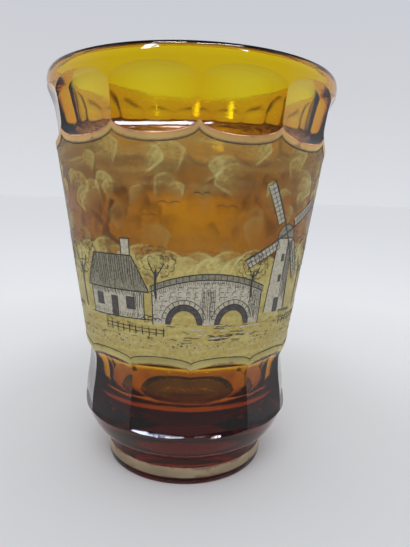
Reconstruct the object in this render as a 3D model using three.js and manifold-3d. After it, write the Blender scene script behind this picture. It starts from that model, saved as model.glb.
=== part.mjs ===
// A conical cut-glass vase. One thick amber glass body carries twelve wheel-cut flutes under the lip,
// twelve upright facets above a rounded bevel, and a short foot with a polished hollow in its underside.
// A painted picture band, two scalloped gilt borders and a gilt foot band are fired onto the glass.
// Millimetres, +Z up, origin at the centre of the resting face. An arris faces -Y.
import * as THREE from "three";
import { mergeVertices } from "three/addons/utils/BufferGeometryUtils.js";
import Module from "manifold-3d";

// Whole vase
const HEIGHT = 150;
const LIP_RADIUS = 55.1;
const CUTS = 12; // flutes above and facets below share one division

// Foot and bevel
const FOOT_RADIUS = 32.6;
const FOOT_HEIGHT = 11.2;
const FOOT_EDGE_ROUND = 0.8;
const NECK_GROOVE = 0.5; // how far the neck is cut in under the bevel
const BEVEL_HEIGHT = 13.1;
const BEVEL_NECK_PULL = [6, 0.3]; // how far the bevel's curve is drawn out and up at the neck
const BEVEL_TOP_PULL = [2.45, 4.7]; // and in and down at its top

// Faceted lower body
const FACET_BITE = 0.1; // how far the facets' edges lie inside the cone at the waist
const FACET_SWELL = 1.8; // how far the facets stand out again at their foot
const FACET_FOOT_RISE = 13.7; // from the top of the foot to the facets' lower corners
const FACET_WAIST_RISE = 19.6; // from there to the waist
const LEDGE_DROP = 1.6; // height of the ledge where a facet runs out over the bevel
const LEDGE_REACH = 1.1; // how far the ledge stands out at that depth
const LEDGE_POWER = 1.4; // how its slope grows: 1 would be a straight chamfer
const LEDGE_OVERRUN = 1.6; // the wheel's path goes on past the ledge by this factor
const BLANK_MARGIN = 0.05; // the blank stands outside the facets' edges by this much
const FACET_ARCH_RISE = 5.4; // from the waist to the tops of the arches
const FACET_RUN_OUT_POWER = 3; // how abruptly the wheel leaves the glass at the arches
const CONE_FOOT_RADIUS = 41.46; // the cone's radius at the tops of the facet arches

// Fluted upper body
const FLUTE_DROP = 5.3; // from the rim to the tops of the arches
const FLUTE_LENGTH = 19.1;
const FLUTE_BITE = 0.33; // how far the edges between the flutes lie inside the cone
const FLUTE_HOLLOW_RADIUS = 300; // the wheel's crown: the flutes are a little hollow across
const FLUTE_RUN_OUT_POWER = 4; // how abruptly the wheel leaves the glass at a flute's ends

// Lip, cavity and underside
const LIP_THICKNESS = 3.7;
const LIP_OUTER_ROUND = [1.7, 2.2]; // width and height of the outer rounding
const LIP_INNER_ROUND_HEIGHT = 2.4;
const SHOULDER_DROP = 25; // below the rim, where the inner wall begins to flare
const SHOULDER_WALL = 6.2; // wall thickness there
const FLARE_PULLS = [0.35, 0.31]; // share of the flare that each end of its curve keeps straight
const BOWL_TOP = 40; // where the inner wall begins to round in
const BOWL_RADIUS = 35;
const FLOOR_HEIGHT = 18.5;
const FLOOR_RADIUS = 8; // flat middle of the bowl
const HOLLOW_RADIUS = 18.6; // the polished hollow under the foot
const HOLLOW_DEPTH = 3.2;

// Fired-on layers
const LAYER_THICKNESS = 0.2;
const LAYER_GAP = 0.06; // between the glass and a layer
const SEAM = 0.12; // between a layer's edge and the next edge
const UPPER_BORDER_WIDTH = 2.5;
const LOWER_BORDER_WIDTH = 2.75;
const FOOT_BAND_LOW = 2.7;
const FOOT_BAND_WIDTH = 4.3;

// Mesh fineness
const SEGMENTS = 72; // round the glass, a multiple of CUTS
const LAYER_SEGMENTS = 144;
const CURVE_STEPS = 6;
const FLARE_STEPS = 3;
const BOWL_STEPS = 8;
const FLUTE_COLUMNS = 6;
const FLUTE_ROWS = 14;
const LEDGE_ROWS = 4;
const SWELL_ROWS = 6;
const ARCH_ROWS = 9;
const BISECTIONS = 40; // halvings when an edge is looked for
const MERGE_DISTANCE = 1e-4;
const OVERCUT = 1.1; // cutters run past the glass by this share of their length
const CUTTER_CLEAR = 6; // cutters stand this far outside the glass

// Heights and radii that follow
const PITCH = (2 * Math.PI) / CUTS;
const BEVEL_TOP = FOOT_HEIGHT + BEVEL_HEIGHT;
const FACET_FOOT = FOOT_HEIGHT + FACET_FOOT_RISE;
const FACET_WAIST = FACET_FOOT + FACET_WAIST_RISE;
const FACET_TOP = FACET_WAIST + FACET_ARCH_RISE;
const FLUTE_MIDDLE = HEIGHT - FLUTE_DROP - FLUTE_LENGTH / 2;
const LIP_FOOT = HEIGHT - LIP_OUTER_ROUND[1];
const SHOULDER = HEIGHT - SHOULDER_DROP;

// Radius of the plain cone before anything is cut
function coneRadius(z) {
  const share = (z - FACET_TOP) / (LIP_FOOT - FACET_TOP);
  return CONE_FOOT_RADIUS + share * (LIP_RADIUS - CONE_FOOT_RADIUS);
}

// Rise of a flute's surface at a distance to the side of its middle
function fluteHollow(x) {
  return FLUTE_HOLLOW_RADIUS - Math.sqrt(FLUTE_HOLLOW_RADIUS ** 2 - x * x);
}

// How far a cut has to go in at its middle for its sides to meet the next cut's on the cone
function fullDepth(radius) {
  return radius * (1 - Math.cos(PITCH / 2)) + fluteHollow(radius * Math.sin(PITCH / 2));
}

// Depth of a flute under the cone along its middle: zero at both ends, nearly level between them
function fluteDepth(z) {
  const share = Math.abs(z - FLUTE_MIDDLE) / (FLUTE_LENGTH / 2);
  return (fullDepth(coneRadius(FLUTE_MIDDLE)) + FLUTE_BITE) * (1 - share ** FLUTE_RUN_OUT_POWER);
}

// Distance of a facet from the axis: swelling to its foot, with a ledge under it and an arch over it
function facetApothem(z) {
  const waist = coneRadius(FACET_WAIST) * Math.cos(PITCH / 2) - FACET_BITE;
  if (z > FACET_WAIST) {
    return waist + (CONE_FOOT_RADIUS - waist) * ((z - FACET_WAIST) / FACET_ARCH_RISE) ** FACET_RUN_OUT_POWER;
  }
  if (z < FACET_FOOT) {
    return waist + FACET_SWELL + LEDGE_REACH * ((FACET_FOOT - z) / LEDGE_DROP) ** LEDGE_POWER;
  }
  const share = (FACET_WAIST - z) / FACET_WAIST_RISE;
  return waist + FACET_SWELL * Math.sin((share * Math.PI) / 2) ** 2;
}

// Radius of the edges between the facets at their foot
function arrisFootRadius() {
  return facetApothem(FACET_FOOT) / Math.cos(PITCH / 2);
}

// Angle from the middle of the nearest cut
function angleOffCut(angle) {
  return Math.abs((((angle % PITCH) + PITCH) % PITCH) - PITCH / 2);
}

// The height at which a falling or rising difference passes zero
function crossing(low, high, difference) {
  const risesUp = difference(high) > difference(low);
  for (let i = 0; i < BISECTIONS; i++) {
    const middle = (low + high) / 2;
    if (difference(middle) > 0 === risesUp) high = middle;
    else low = middle;
  }
  return (low + high) / 2;
}

// Height of the flutes' scalloped lower edge on the cone
function fluteEdge(angle) {
  const off = angleOffCut(angle);
  return crossing(FLUTE_MIDDLE - (FLUTE_LENGTH / 2) * OVERCUT, FLUTE_MIDDLE, (z) => {
    const radius = coneRadius(z);
    return fluteDepth(z) - radius * (1 - Math.cos(off)) - fluteHollow(radius * Math.sin(off));
  });
}

// Height of the facets' arched upper edge on the cone
function facetEdge(angle) {
  const off = angleOffCut(angle);
  const high = FACET_WAIST + FACET_ARCH_RISE * OVERCUT;
  return crossing(FACET_WAIST, high, (z) => facetApothem(z) - coneRadius(z) * Math.cos(off));
}

const wasm = await Module();
wasm.setup();

function toSolid(geometry) {
  const bare = geometry.clone();
  bare.deleteAttribute("normal");
  bare.deleteAttribute("uv");
  const merged = mergeVertices(bare, MERGE_DISTANCE);
  return new wasm.Manifold(
    new wasm.Mesh({
      numProp: 3,
      vertProperties: new Float32Array(merged.attributes.position.array),
      triVerts: new Uint32Array(merged.index.array),
    }),
  );
}

function toGeometry(solid) {
  const { numProp, vertProperties, triVerts, numVert } = solid.getMesh();
  const position = new Float32Array(numVert * 3);
  for (let i = 0; i < numVert; i++) {
    position.set(vertProperties.subarray(i * numProp, i * numProp + 3), i * 3);
  }
  const geometry = new THREE.BufferGeometry();
  geometry.setAttribute("position", new THREE.BufferAttribute(position, 3));
  geometry.setIndex(new THREE.BufferAttribute(triVerts, 1));
  geometry.computeVertexNormals();
  return geometry;
}

function fromRows(points, faces) {
  const geometry = new THREE.BufferGeometry();
  geometry.setAttribute("position", new THREE.Float32BufferAttribute(points.flat(), 3));
  geometry.setIndex(faces);
  geometry.computeVertexNormals();
  return geometry;
}

function quarterArc(centreX, centreY, radiusX, radiusY, from, to, steps = CURVE_STEPS) {
  return new THREE.EllipseCurve(centreX, centreY, radiusX, radiusY, from, to, to < from).getPoints(steps);
}

// Underside hollow, resting ring and foot, from the axis outwards
function footProfile() {
  const quarter = Math.PI / 2;
  const round = FOOT_EDGE_ROUND;
  return [
    ...quarterArc(0, 0, HOLLOW_RADIUS, HOLLOW_DEPTH, quarter, 0),
    ...quarterArc(FOOT_RADIUS - round, round, round, round, -quarter, 0),
    new THREE.Vector2(FOOT_RADIUS, FOOT_HEIGHT - NECK_GROOVE),
    new THREE.Vector2(FOOT_RADIUS - NECK_GROOVE, FOOT_HEIGHT),
  ];
}

// Rounded bevel from the neck out to the blank that the facets are cut from
function bevelProfile() {
  const blankRadius = arrisFootRadius() + BLANK_MARGIN;
  const neck = new THREE.Vector2(FOOT_RADIUS, FOOT_HEIGHT + NECK_GROOVE);
  const top = new THREE.Vector2(blankRadius, BEVEL_TOP);
  const low = neck.clone().add(new THREE.Vector2(...BEVEL_NECK_PULL));
  const high = top.clone().sub(new THREE.Vector2(...BEVEL_TOP_PULL));
  return [
    ...new THREE.CubicBezierCurve(neck, low, high, top).getPoints(CURVE_STEPS),
    new THREE.Vector2(blankRadius, (BEVEL_TOP + FACET_WAIST) / 2),
    new THREE.Vector2(coneRadius(FACET_WAIST), FACET_WAIST),
  ];
}

// Rounded lip, flaring inner wall and the bowl at the bottom of the cavity
function cavityProfile() {
  const quarter = Math.PI / 2;
  const [outerWidth, outerHeight] = LIP_OUTER_ROUND;
  const innerWidth = LIP_THICKNESS - outerWidth;
  const crest = LIP_RADIUS - outerWidth;
  const innerFoot = HEIGHT - LIP_INNER_ROUND_HEIGHT;
  const flareTop = new THREE.Vector2(crest - innerWidth, innerFoot);
  const shoulder = new THREE.Vector2(coneRadius(SHOULDER) - SHOULDER_WALL, SHOULDER);
  const wallLine = new THREE.Vector2(BOWL_RADIUS, BOWL_TOP).sub(shoulder).normalize();
  const flareLength = flareTop.distanceTo(shoulder);
  return [
    ...quarterArc(crest, LIP_FOOT, outerWidth, outerHeight, 0, quarter),
    ...quarterArc(crest, innerFoot, innerWidth, LIP_INNER_ROUND_HEIGHT, quarter, Math.PI).slice(1),
    ...new THREE.CubicBezierCurve(
      flareTop,
      flareTop.clone().lerp(shoulder, FLARE_PULLS[0]),
      shoulder.clone().addScaledVector(wallLine, -FLARE_PULLS[1] * flareLength),
      shoulder,
    ).getPoints(FLARE_STEPS).slice(1),
    ...quarterArc(
      FLOOR_RADIUS, BOWL_TOP, BOWL_RADIUS - FLOOR_RADIUS, BOWL_TOP - FLOOR_HEIGHT, 0, -quarter, BOWL_STEPS,
    ),
    new THREE.Vector2(0, FLOOR_HEIGHT),
  ];
}

// The blown and turned blank: every outline above, revolved about the axis
function blank() {
  const profile = [...footProfile(), ...bevelProfile(), ...cavityProfile()];
  return toSolid(new THREE.LatheGeometry(profile, SEGMENTS).rotateX(Math.PI / 2));
}

// A solid that stands outside the glass, whose inner face is surface(x, z): x runs along the cut's width
function cutter(halfWidth, columns, heights, outside, surface) {
  const rows = heights.length - 1;
  const points = [];
  for (const z of heights) {
    for (let column = 0; column <= columns; column++) {
      const x = halfWidth * ((2 * column) / columns - 1);
      points.push([x, -surface(x, z), z], [x, -outside, z]);
    }
  }
  const at = (row, column, side) => 2 * (row * (columns + 1) + column) + side;
  const faces = [];
  const quad = (a, b, c, d) => faces.push(a, b, c, a, c, d);
  for (let row = 0; row < rows; row++) {
    for (let column = 0; column < columns; column++) {
      quad(at(row, column, 0), at(row + 1, column, 0), at(row + 1, column + 1, 0), at(row, column + 1, 0));
      quad(at(row, column, 1), at(row, column + 1, 1), at(row + 1, column + 1, 1), at(row + 1, column, 1));
    }
    quad(at(row, 0, 1), at(row + 1, 0, 1), at(row + 1, 0, 0), at(row, 0, 0));
    quad(at(row, columns, 0), at(row + 1, columns, 0), at(row + 1, columns, 1), at(row, columns, 1));
  }
  for (let column = 0; column < columns; column++) {
    quad(at(0, column, 0), at(0, column + 1, 0), at(0, column + 1, 1), at(0, column, 1));
    quad(at(rows, column, 1), at(rows, column + 1, 1), at(rows, column + 1, 0), at(rows, column, 0));
  }
  return fromRows(points, faces);
}

// Numbers from 0 to 1
function shares(steps) {
  return Array.from({ length: steps + 1 }, (_, i) => i / steps);
}

// Rows crowd towards both ends, where the wheel leaves the glass
function fluteCutter() {
  const reach = (FLUTE_LENGTH / 2) * OVERCUT;
  const heights = shares(FLUTE_ROWS).map((share) => FLUTE_MIDDLE - reach * Math.cos(share * Math.PI));
  const halfWidth = LIP_RADIUS * Math.sin(PITCH / 2) * OVERCUT;
  const surface = (x, z) => coneRadius(z) - fluteDepth(z) + fluteHollow(x);
  return cutter(halfWidth, FLUTE_COLUMNS, heights, LIP_RADIUS + CUTTER_CLEAR, surface);
}

// Close rows down the ledge, wide ones along the swell, and close ones up the arch
function facetCutter() {
  const ledge = LEDGE_DROP * LEDGE_OVERRUN;
  const heights = [
    ...shares(LEDGE_ROWS).slice(1).map((share) => FACET_FOOT - ledge * share).reverse(),
    ...shares(SWELL_ROWS).map((share) => FACET_FOOT + FACET_WAIST_RISE * share),
    ...shares(ARCH_ROWS).slice(1).map((share) => FACET_WAIST + FACET_ARCH_RISE * OVERCUT * share),
  ];
  const halfWidth = arrisFootRadius() * Math.sin(PITCH / 2) * OVERCUT;
  return cutter(halfWidth, 1, heights, arrisFootRadius() + CUTTER_CLEAR, (x, z) => facetApothem(z));
}

// The glass: the blank with both rings of cuts taken out of it, each cut half a pitch off the front
function glassBody() {
  let solid = blank();
  for (const cut of [fluteCutter(), facetCutter()]) {
    for (let i = 0; i < CUTS; i++) {
      solid = solid.subtract(toSolid(cut.clone().rotateZ(i * PITCH + PITCH / 2)));
    }
  }
  return toGeometry(solid);
}

// A thin closed ring that lies on the glass between two edge curves
function layer(segments, radiusAt, lowEdge, highEdge) {
  const points = [];
  for (let i = 0; i < segments; i++) {
    const angle = (2 * Math.PI * i) / segments;
    for (const [z, lift] of [
      [lowEdge(angle), LAYER_GAP],
      [lowEdge(angle), LAYER_GAP + LAYER_THICKNESS],
      [highEdge(angle), LAYER_GAP + LAYER_THICKNESS],
      [highEdge(angle), LAYER_GAP],
    ]) {
      const radius = radiusAt(z) + lift;
      points.push([radius * Math.sin(angle), -radius * Math.cos(angle), z]);
    }
  }
  const faces = [];
  for (let i = 0; i < segments; i++) {
    const here = 4 * i;
    const next = 4 * ((i + 1) % segments);
    for (let side = 0; side < 4; side++) {
      const other = (side + 1) % 4;
      faces.push(here + side, next + side, next + other, here + side, next + other, here + other);
    }
  }
  return fromRows(points, faces);
}

const upperBorderTop = (angle) => fluteEdge(angle) - SEAM;
const upperBorderFoot = (angle) => upperBorderTop(angle) - UPPER_BORDER_WIDTH;
const lowerBorderFoot = (angle) => facetEdge(angle) + SEAM;
const lowerBorderTop = (angle) => lowerBorderFoot(angle) + LOWER_BORDER_WIDTH;

function upperBorder() {
  return layer(LAYER_SEGMENTS, coneRadius, upperBorderFoot, upperBorderTop);
}

function pictureBand() {
  const low = (angle) => lowerBorderTop(angle) + SEAM;
  const high = (angle) => upperBorderFoot(angle) - SEAM;
  return layer(LAYER_SEGMENTS, coneRadius, low, high);
}

function lowerBorder() {
  return layer(LAYER_SEGMENTS, coneRadius, lowerBorderFoot, lowerBorderTop);
}

function footBand() {
  const low = () => FOOT_BAND_LOW;
  const high = () => FOOT_BAND_LOW + FOOT_BAND_WIDTH;
  return layer(SEGMENTS, () => FOOT_RADIUS, low, high);
}

const amberGlass = new THREE.MeshStandardMaterial({ color: 0xa8641c, roughness: 0.04, metalness: 0 });
const printColours = new THREE.MeshStandardMaterial({ color: 0xa8955a, roughness: 0.5, metalness: 0 });
const roseGilding = new THREE.MeshStandardMaterial({ color: 0xc79a70, roughness: 0.32, metalness: 0.8 });
const paleGilding = new THREE.MeshStandardMaterial({ color: 0xab9c62, roughness: 0.4, metalness: 0.7 });

const vase = new THREE.Group();
for (const [name, geometry, material] of [
  ["glass_body", glassBody(), amberGlass],
  ["upper_gilt_border", upperBorder(), roseGilding],
  ["picture_band", pictureBand(), printColours],
  ["lower_gilt_border", lowerBorder(), paleGilding.clone()],
  ["foot_gilt_band", footBand(), paleGilding],
]) {
  const mesh = new THREE.Mesh(geometry, material);
  mesh.name = name;
  vase.add(mesh);
}

export default vase;
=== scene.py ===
# %% [markdown]
# A conical cut-glass vase
#
# The vase is one thick piece of amber glass. Two rings of twelve wheel cuts shape it, and gold, enamel and a
# printed drawing are fired onto it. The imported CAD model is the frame: it says where everything is. This lesson
# makes the fine glass and its decoration around that frame, lights it softly and sets up the camera.

import math

import bpy
import numpy as np
from mathutils import Matrix, Vector


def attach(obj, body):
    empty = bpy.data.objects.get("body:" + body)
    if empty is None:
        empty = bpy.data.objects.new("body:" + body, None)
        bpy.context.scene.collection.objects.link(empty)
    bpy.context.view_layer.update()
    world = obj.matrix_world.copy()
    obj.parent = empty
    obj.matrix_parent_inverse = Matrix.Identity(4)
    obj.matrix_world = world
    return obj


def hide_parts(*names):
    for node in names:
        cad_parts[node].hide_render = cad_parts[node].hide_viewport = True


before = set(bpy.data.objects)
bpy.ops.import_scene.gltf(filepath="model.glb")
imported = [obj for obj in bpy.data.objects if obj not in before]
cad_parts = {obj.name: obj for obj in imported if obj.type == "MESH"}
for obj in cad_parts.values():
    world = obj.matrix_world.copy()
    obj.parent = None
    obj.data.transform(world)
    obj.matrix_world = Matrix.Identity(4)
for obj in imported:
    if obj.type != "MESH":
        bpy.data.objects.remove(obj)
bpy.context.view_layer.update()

# %% [markdown]
# The camera
#
# The picture was taken by hand from close by, a little below the rim. A pinhole camera at that place gives the
# same strong perspective. The place is given as a distance from the vase's axis and a height, and the turn
# as yaw, pitch and roll, because these are the values that a photographer would change.

# %% Set up the camera
MM = 0.001
CAMERA_DISTANCE = 190.8 * MM
CAMERA_HEIGHT = 106.0 * MM
CAMERA_AZIMUTH = math.radians(-2.2)
CAMERA_YAW = math.radians(2.05)
CAMERA_PITCH = math.radians(-9.08)
CAMERA_ROLL = math.radians(1.72)
LENS = 30.24
SENSOR = 36.0


def add_camera():
    data = bpy.data.cameras.new("camera")
    data.sensor_fit = "VERTICAL"
    data.sensor_height = SENSOR
    data.lens = LENS
    data.clip_start = 10 * MM
    camera = bpy.data.objects.new("camera", data)
    turn = Matrix.Rotation(CAMERA_AZIMUTH, 4, "Z")
    place = Matrix.Translation((0, -CAMERA_DISTANCE, CAMERA_HEIGHT))
    aim = Matrix.Rotation(-CAMERA_YAW, 4, "Z") @ Matrix.Rotation(math.pi / 2 + CAMERA_PITCH, 4, "X")
    camera.matrix_world = turn @ place @ aim @ Matrix.Rotation(CAMERA_ROLL, 4, "Z")
    bpy.context.scene.collection.objects.link(camera)
    bpy.context.scene.camera = camera
    return camera


camera = add_camera()
print("camera at", [round(c, 4) for c in camera.matrix_world.translation])

# %% [markdown]
# The cuts as functions
#
# A flute or a facet is the path of a grinding wheel through the cone, so each is a small formula: how deep the
# wheel stands at a height. The same formulas give the scalloped edges, which the gilding follows. They are
# written in millimetres, as a glass cutter would think, and turned into metres when a mesh is made.

# %% Name the sizes of the cuts
HEIGHT = 150
LIP_RADIUS = 55.1
CUTS = 12
PITCH = 2 * math.pi / CUTS
FACET_FOOT = 24.9
FACET_WAIST = 44.5
FACET_TOP = 49.9
FACET_BITE = 0.1
FACET_SWELL = 1.8
FACET_RUN_OUT_POWER = 3
LEDGE_DROP = 1.6
LEDGE_REACH = 1.1
LEDGE_POWER = 1.05
CONE_FOOT_RADIUS = 41.46
FLUTE_MIDDLE = 135.15
FLUTE_HALF = 9.55
FLUTE_BITE = 0.33
FLUTE_HOLLOW_RADIUS = 300
FLUTE_RUN_OUT_POWER = 4
CONE_TOP = 147.8
LIP_ROUND = (1.2, 3.8)
LIP_FOOT = HEIGHT - LIP_ROUND[1]


def cone_radius(z):
    return CONE_FOOT_RADIUS + (z - FACET_TOP) / (CONE_TOP - FACET_TOP) * (LIP_RADIUS - CONE_FOOT_RADIUS)


def flute_hollow(x):
    return FLUTE_HOLLOW_RADIUS - np.sqrt(FLUTE_HOLLOW_RADIUS**2 - x * x)


def flute_depth(z):
    radius = cone_radius(FLUTE_MIDDLE)
    full = radius * (1 - math.cos(PITCH / 2)) + flute_hollow(radius * math.sin(PITCH / 2))
    share = np.abs(z - FLUTE_MIDDLE) / FLUTE_HALF
    return (full + FLUTE_BITE) * (1 - share**FLUTE_RUN_OUT_POWER)


def facet_apothem(z):
    waist = cone_radius(FACET_WAIST) * math.cos(PITCH / 2) - FACET_BITE
    arch = np.maximum(z - FACET_WAIST, 0) / (FACET_TOP - FACET_WAIST)
    share = np.clip((FACET_WAIST - z) / (FACET_WAIST - FACET_FOOT), 0, 1)
    ledge = np.maximum(FACET_FOOT - z, 0) / LEDGE_DROP
    surface = waist + (CONE_FOOT_RADIUS - waist) * arch**FACET_RUN_OUT_POWER
    return surface + FACET_SWELL * np.sin(share * math.pi / 2) ** 2 + LEDGE_REACH * ledge**LEDGE_POWER


# %% [markdown]
# The facets' feet
#
# At their lower end the facets run out over a slightly proud ring: a narrow ledge faces up there and catches the
# lamps, and under it the ring is rounded and turns in to the neck. The ledge is part of the facet's formula, and
# the ring is a profile that is turned about the axis.

# %% Shape the ledge and the ring
FOOT_RADIUS = 32.6
NECK_TOP = 11.7
BEVEL_TOP = 24.3
BEVEL_NECK_PULL = (6, 0.3)
BEVEL_TOP_PULL = (2.45, 4.7)
BLANK_RADIUS = float(facet_apothem(np.array(FACET_FOOT))) / math.cos(PITCH / 2) + 0.05


def bezier(points, steps):
    t = np.linspace(0, 1, steps + 1)[:, None]
    a, b, c, d = (np.array(p, float) for p in points)
    return (1 - t) ** 3 * a + 3 * t * (1 - t) ** 2 * b + 3 * t * t * (1 - t) * c + t**3 * d


def bevel_profile():
    neck, top = np.array((FOOT_RADIUS, NECK_TOP)), np.array((BLANK_RADIUS, BEVEL_TOP))
    return bezier([neck, neck + BEVEL_NECK_PULL, top - BEVEL_TOP_PULL, top], 32)


BEVEL_PROFILE = bevel_profile()


def bevel_radius(z):
    return np.interp(z, BEVEL_PROFILE[:, 1], BEVEL_PROFILE[:, 0])


# %% [markdown]
# The edges of the cuts
#
# A cut ends where the wheel leaves the glass. That height could be solved by hand for one cut, but the cuts differ,
# so one search by halving finds it for every angle: the height at which a condition turns true.

# %% Find the edges of the cuts
FLUTE_SEARCH = FLUTE_HALF * 1.1
FACET_SEARCH = 6.4
RING_SEARCH = (LEDGE_DROP * 1.6, 0.4)
HALVINGS = 40


def off_cut(angle):
    """Angle from the middle of the nearest cut."""
    return np.abs(np.mod(angle, PITCH) - PITCH / 2)


def crossing(angle, low, high, inside):
    """Height where inside(z, off) turns true between low and high, for many angles at once."""
    off = off_cut(angle)
    low, high = np.full_like(off, low), np.full_like(off, high)
    for _ in range(HALVINGS):
        middle = (low + high) / 2
        hit = inside(middle, off)
        low, high = np.where(hit, low, middle), np.where(hit, middle, high)
    return (low + high) / 2


def flute_room(z, off):
    radius = cone_radius(z)
    return flute_depth(z) - radius * (1 - np.cos(off)) - flute_hollow(radius * np.sin(off))


def facet_room(z, off, blank_radius):
    return blank_radius(z) * np.cos(off) - facet_apothem(z)


def flute_edge(angle):
    return crossing(angle, FLUTE_MIDDLE - FLUTE_SEARCH, FLUTE_MIDDLE, lambda z, off: flute_room(z, off) > 0)


def flute_arch(angle):
    return crossing(angle, FLUTE_MIDDLE, FLUTE_MIDDLE + FLUTE_SEARCH, lambda z, off: flute_room(z, off) < 0)


def facet_edge(angle):
    high = FACET_WAIST + FACET_SEARCH
    return crossing(angle, FACET_WAIST, high, lambda z, off: facet_room(z, off, cone_radius) < 0)


def ring_edge(angle):
    low, high = FACET_FOOT - RING_SEARCH[0], FACET_FOOT + RING_SEARCH[1]
    return crossing(angle, low, high, lambda z, off: facet_room(z, off, bevel_radius) > 0)


for edge in (flute_edge, flute_arch, facet_edge, ring_edge):
    print(edge.__name__, [round(float(z), 2) for z in edge(np.array([0.0, PITCH / 4, PITCH / 2]))])

# %% [markdown]
# The glass
#
# The glass is one closed mesh. It could be cut with booleans, but those leave long thin faces that show in
# reflections. Instead the whole skin is one net: columns run from the middle of the underside up the outside, over
# the lip and down to the cavity's floor, and rows follow the edges of the cuts. Near each edge the rows and columns
# crowd together and the two surfaces are blended over a twentieth of a millimetre, as polishing leaves them.

# %% Blend two surfaces and spread the rows
EDGE_SOFTNESS = 0.05


def soft_min(a, b, softness=EDGE_SOFTNESS):
    """The smaller of two values, rounded off where they are nearly equal."""
    h = np.maximum(softness - np.abs(a - b), 0) / softness
    return np.minimum(a, b) - h * h * softness / 4


def column_angles():
    """Angles round the vase, crowded at the edges between the cuts."""
    half = [0, 0.05, 0.11, 0.2, 0.5, 1.1, 2, 3.2, 4.5, 6, 7.5, 9, 10.5, 12, 13.5, 15]
    pitch = half + [30 - a for a in half[-2:0:-1]]
    return np.radians([30 * k + a for k in range(CUTS) for a in pitch])


def crowded(low, high, steps, close=(0.05, 0.12, 0.3)):
    """Heights from low to high for every column, crowded at both ends. low and high are arrays."""
    span = high - low
    inner = np.linspace(0, 1, steps + 1)[1:-1]
    rows = [low] + [low + np.minimum(d, span * (0.1 + d)) for d in close]
    start, end = rows[-1], high - (rows[-1] - low)
    rows += [start + (end - start) * t for t in inner]
    rows += [high - (row - low) for row in rows[len(close):0:-1]]
    return rows


ANGLES = column_angles()
OFF = off_cut(ANGLES)
print(len(ANGLES), "columns")

# %% [markdown]
# The outside of the glass
#
# From the neck to the lip the outside is the cone with twelve facets and twelve flutes cut into it. It could be a
# cone minus twenty-four cutters, but a boolean leaves long thin triangles that shine unevenly. So each row of the
# net takes the smaller radius of the cone, the wheel and the ledge at its height, blended over a twentieth of a
# millimetre like an edge that has been polished.

# %% Outer skin, row by row
FLUTE_ROUNDS = 12  # a flute's hollow depends on its own radius, which settles in fewer rounds than this
FLUTE_SCOPE = FLUTE_HALF * 1.2
LEDGE_ROOM = 0.25


def flute_radius(z, off):
    """Distance of a flute's surface from the axis in the direction off its middle."""
    radius = cone_radius(z)
    for _ in range(FLUTE_ROUNDS):
        x = radius * np.sin(off)
        radius = (cone_radius(z) - flute_depth(z) + flute_hollow(x)) / np.cos(off)
    return radius


def outer_radius(z, off):
    """The glass outside at any height above the neck."""
    mirrored = PITCH - off
    flute = soft_min(flute_radius(z, off), flute_radius(z, mirrored))
    facet = soft_min(facet_apothem(z) / np.cos(off), facet_apothem(z) / np.cos(mirrored))
    blank = np.where(z < FACET_WAIST, bevel_radius(z), cone_radius(z))
    radius = soft_min(blank, facet)
    return np.where(np.abs(z - FLUTE_MIDDLE) < FLUTE_SCOPE, soft_min(radius, flute), radius)


def outer_rows():
    ones = np.ones_like(ANGLES)
    ring, facet = ring_edge(ANGLES), facet_edge(ANGLES)
    foot, arch = flute_edge(ANGLES), flute_arch(ANGLES)
    ledge = np.maximum(FACET_FOOT * ones, ring + LEDGE_ROOM)
    parts = [
        crowded(NECK_TOP * ones, ring, 18, close=(0.05, 0.12)),
        crowded(ring, ledge, 6, close=(0.05, 0.12)),
        crowded(ledge, facet, 26),
        crowded(facet, foot, 14),
        crowded(foot, arch, 26),
        crowded(arch, LIP_FOOT * ones, 4),
    ]
    rows = parts[0][:1] + [row for part in parts for row in part[1:]]
    return [(outer_radius(z, OFF), z) for z in rows]


# %% [markdown]
# Foot, lip and cavity
#
# These parts are round: the blown blank shows where no wheel touched it. The foot has a polished hollow under it,
# so that it stands on a ring; the lip is rounded more on its outside; the cavity ends in a round bowl over a thick
# floor. A list of radius and height pairs with quarter-round corners is enough for all three.

# %% Foot, lip and cavity
HOLLOW_RADIUS = 18.6
HOLLOW_DEPTH = 3.2
FOOT_EDGE_ROUND = 0.8
FOOT_HEIGHT = 11.2
NECK_GROOVE = 0.5
LIP_THICKNESS = 3.7
LIP_INNER_ROUND = 2.0
SHOULDER = 125
SHOULDER_WALL = 6.2
FLOOR_HEIGHT = 18.5
FLOOR_RADIUS = 8
BOWL_TOP = 40
BOWL_RADIUS = 35


def quarter(centre, radii, start, end, steps):
    t = np.radians(np.linspace(start, end, steps + 1))
    return [(centre[0] + radii[0] * math.cos(a), centre[1] + radii[1] * math.sin(a)) for a in t]


def foot_rows():
    edge, groove = FOOT_RADIUS - FOOT_EDGE_ROUND, FOOT_RADIUS - NECK_GROOVE
    rows = quarter((0, 0), (HOLLOW_RADIUS, HOLLOW_DEPTH), 86, 3, 16)
    rows += [(HOLLOW_RADIUS + 0.15, 0.03), (HOLLOW_RADIUS + 0.5, 0), (HOLLOW_RADIUS + 6, 0)]
    rows += quarter((edge, FOOT_EDGE_ROUND), (FOOT_EDGE_ROUND, FOOT_EDGE_ROUND), -90, 0, 6)
    rows += [(FOOT_RADIUS, z) for z in (2.5, 5, 7.5, 10, 10.55)]
    rows += [(FOOT_RADIUS - 0.08, 10.8), (groove + 0.1, FOOT_HEIGHT - 0.1), (groove, FOOT_HEIGHT)]
    return rows + [(groove + 0.1, FOOT_HEIGHT + 0.15)]


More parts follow.
